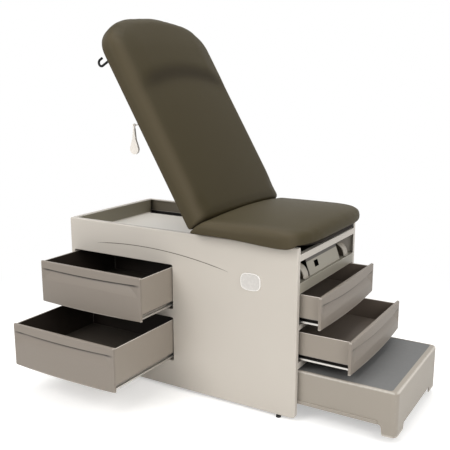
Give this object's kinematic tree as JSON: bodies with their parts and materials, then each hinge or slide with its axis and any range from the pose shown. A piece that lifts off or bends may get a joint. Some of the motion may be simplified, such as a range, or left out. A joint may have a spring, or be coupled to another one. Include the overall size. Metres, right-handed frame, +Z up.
{
  "type": "examination table",
  "caption": "Clinic examination table with a tilting backrest, drawers in its side and end, stowed stirrups, a leg extension and a pull-out step.",
  "frame": {"origin": "centre of the bounding box at floor level", "axes": "+X from the head end to the foot end, +Z up, -Y towards the side with the drawers"},
  "size_m": [1.642, 1.1328, 1.6938],
  "materials": {
    "enamel": "satin",
    "pale_enamel": "satin",
    "drawer_plastic": "satin",
    "zinc_steel": "satin",
    "black_metal": "satin",
    "bright_steel": "polished",
    "upholstery": "satin",
    "board": "matte",
    "tread_rubber": "matte",
    "foot_rubber": "matte",
    "cup_plastic": "satin",
    "pull_plastic": "satin",
    "blank_plastic": "matte"
  },
  "bodies": {
    "cabinet": {"near_side_panel": "enamel", "far_side_panel": "enamel", "head_end_panel": "enamel", "top_deck": "pale_enamel", "mid_partition": "enamel", "base_pan": "enamel", "hinge_rail": "zinc_steel", "drawer_mid_rail": "enamel", "drawer_lower_rail": "enamel", "stirrup_bay_tray": "pale_enamel", "bay_cover_plate": "pale_enamel", "bay_socket_blank": "blank_plastic", "levelling_feet": "foot_rubber", "side_drawer_runners": "zinc_steel", "front_drawer_runners": "zinc_steel", "step_runners": "zinc_steel", "leg_extension_guides": "zinc_steel", "near_stirrup_sleeve": "zinc_steel", "far_stirrup_sleeve": "zinc_steel", "seat_board": "board", "seat_pad": "upholstery", "seat_hinge_leaves": "zinc_steel", "hinge_pins": "zinc_steel", "gas_spring_bracket": "zinc_steel", "gas_spring_cylinder": "black_metal"},
    "backrest": {"back_board": "board", "back_pad": "upholstery", "back_hinge_leaves": "zinc_steel", "spring_crank": "black_metal", "paper_hooks": "black_metal", "release_wires": "bright_steel"},
    "near_pull": {"near_release_pull": "pull_plastic"},
    "far_pull": {"far_release_pull": "pull_plastic"},
    "spring_rod": {"gas_spring_rod": "bright_steel"},
    "side_upper": {"side_upper_drawer": "drawer_plastic", "side_upper_slides": "zinc_steel"},
    "side_lower": {"side_lower_drawer": "drawer_plastic", "side_lower_slides": "zinc_steel"},
    "front_upper": {"front_upper_drawer": "drawer_plastic", "front_upper_slides": "zinc_steel"},
    "front_lower": {"front_lower_drawer": "drawer_plastic", "front_lower_slides": "zinc_steel"},
    "step": {"step_body": "drawer_plastic", "step_tread": "tread_rubber", "step_guides": "blank_plastic"},
    "leg_extension": {"leg_extension_front": "enamel", "leg_extension_pan": "pale_enamel"},
    "near_stirrup": {"near_stirrup_arm": "zinc_steel", "near_heel_cup": "cup_plastic"},
    "far_stirrup": {"far_stirrup_arm": "zinc_steel", "far_heel_cup": "cup_plastic"}
  },
  "joints": [
    {"name": "backrest_tilt", "type": "hinge", "parent": "cabinet", "child": "backrest", "pos_m": [-0.092, 0.1785, 0.757], "axis": [0, 1, 0], "range_deg": [-59.5, 0]},
    {"name": "near_pull_swing", "type": "hinge", "parent": "backrest", "child": "near_pull", "pos_m": [-0.39643, -0.1585, 1.21191], "axis": [0, 1, 0], "range_deg": [-30, 75]},
    {"name": "far_pull_swing", "type": "hinge", "parent": "backrest", "child": "far_pull", "pos_m": [-0.39643, 0.5155, 1.21191], "axis": [0, 1, 0], "range_deg": [-30, 75]},
    {"name": "spring_stroke", "type": "slide", "parent": "cabinet", "child": "spring_rod", "axis": [1, 0, 0], "range_m": [-0.001, 0.0854]},
    {"name": "side_upper_slide", "type": "slide", "parent": "cabinet", "child": "side_upper", "axis": [0, -1, 0], "range_m": [-0.229, 0.201]},
    {"name": "side_lower_slide", "type": "slide", "parent": "cabinet", "child": "side_lower", "axis": [0, -1, 0], "range_m": [-0.413, 0.017]},
    {"name": "front_upper_slide", "type": "slide", "parent": "cabinet", "child": "front_upper", "axis": [1, 0, 0], "range_m": [-0.089, 0.311]},
    {"name": "front_lower_slide", "type": "slide", "parent": "cabinet", "child": "front_lower", "axis": [1, 0, 0], "range_m": [-0.222, 0.178]},
    {"name": "step_slide", "type": "slide", "parent": "cabinet", "child": "step", "axis": [1, 0, 0], "range_m": [-0.42, 0]},
    {"name": "leg_extension_slide", "type": "slide", "parent": "cabinet", "child": "leg_extension", "axis": [1, 0, 0], "range_m": [0, 0.32]},
    {"name": "near_stirrup_slide", "type": "slide", "parent": "cabinet", "child": "near_stirrup", "axis": [1, 0, 0], "range_m": [0, 0.25]},
    {"name": "far_stirrup_slide", "type": "slide", "parent": "cabinet", "child": "far_stirrup", "axis": [1, 0, 0], "range_m": [0, 0.25]}
  ],
  "couplings": [
    {"joint": "spring_stroke", "follows": "backrest_tilt", "m_per_rad": -0.081232}
  ]
}
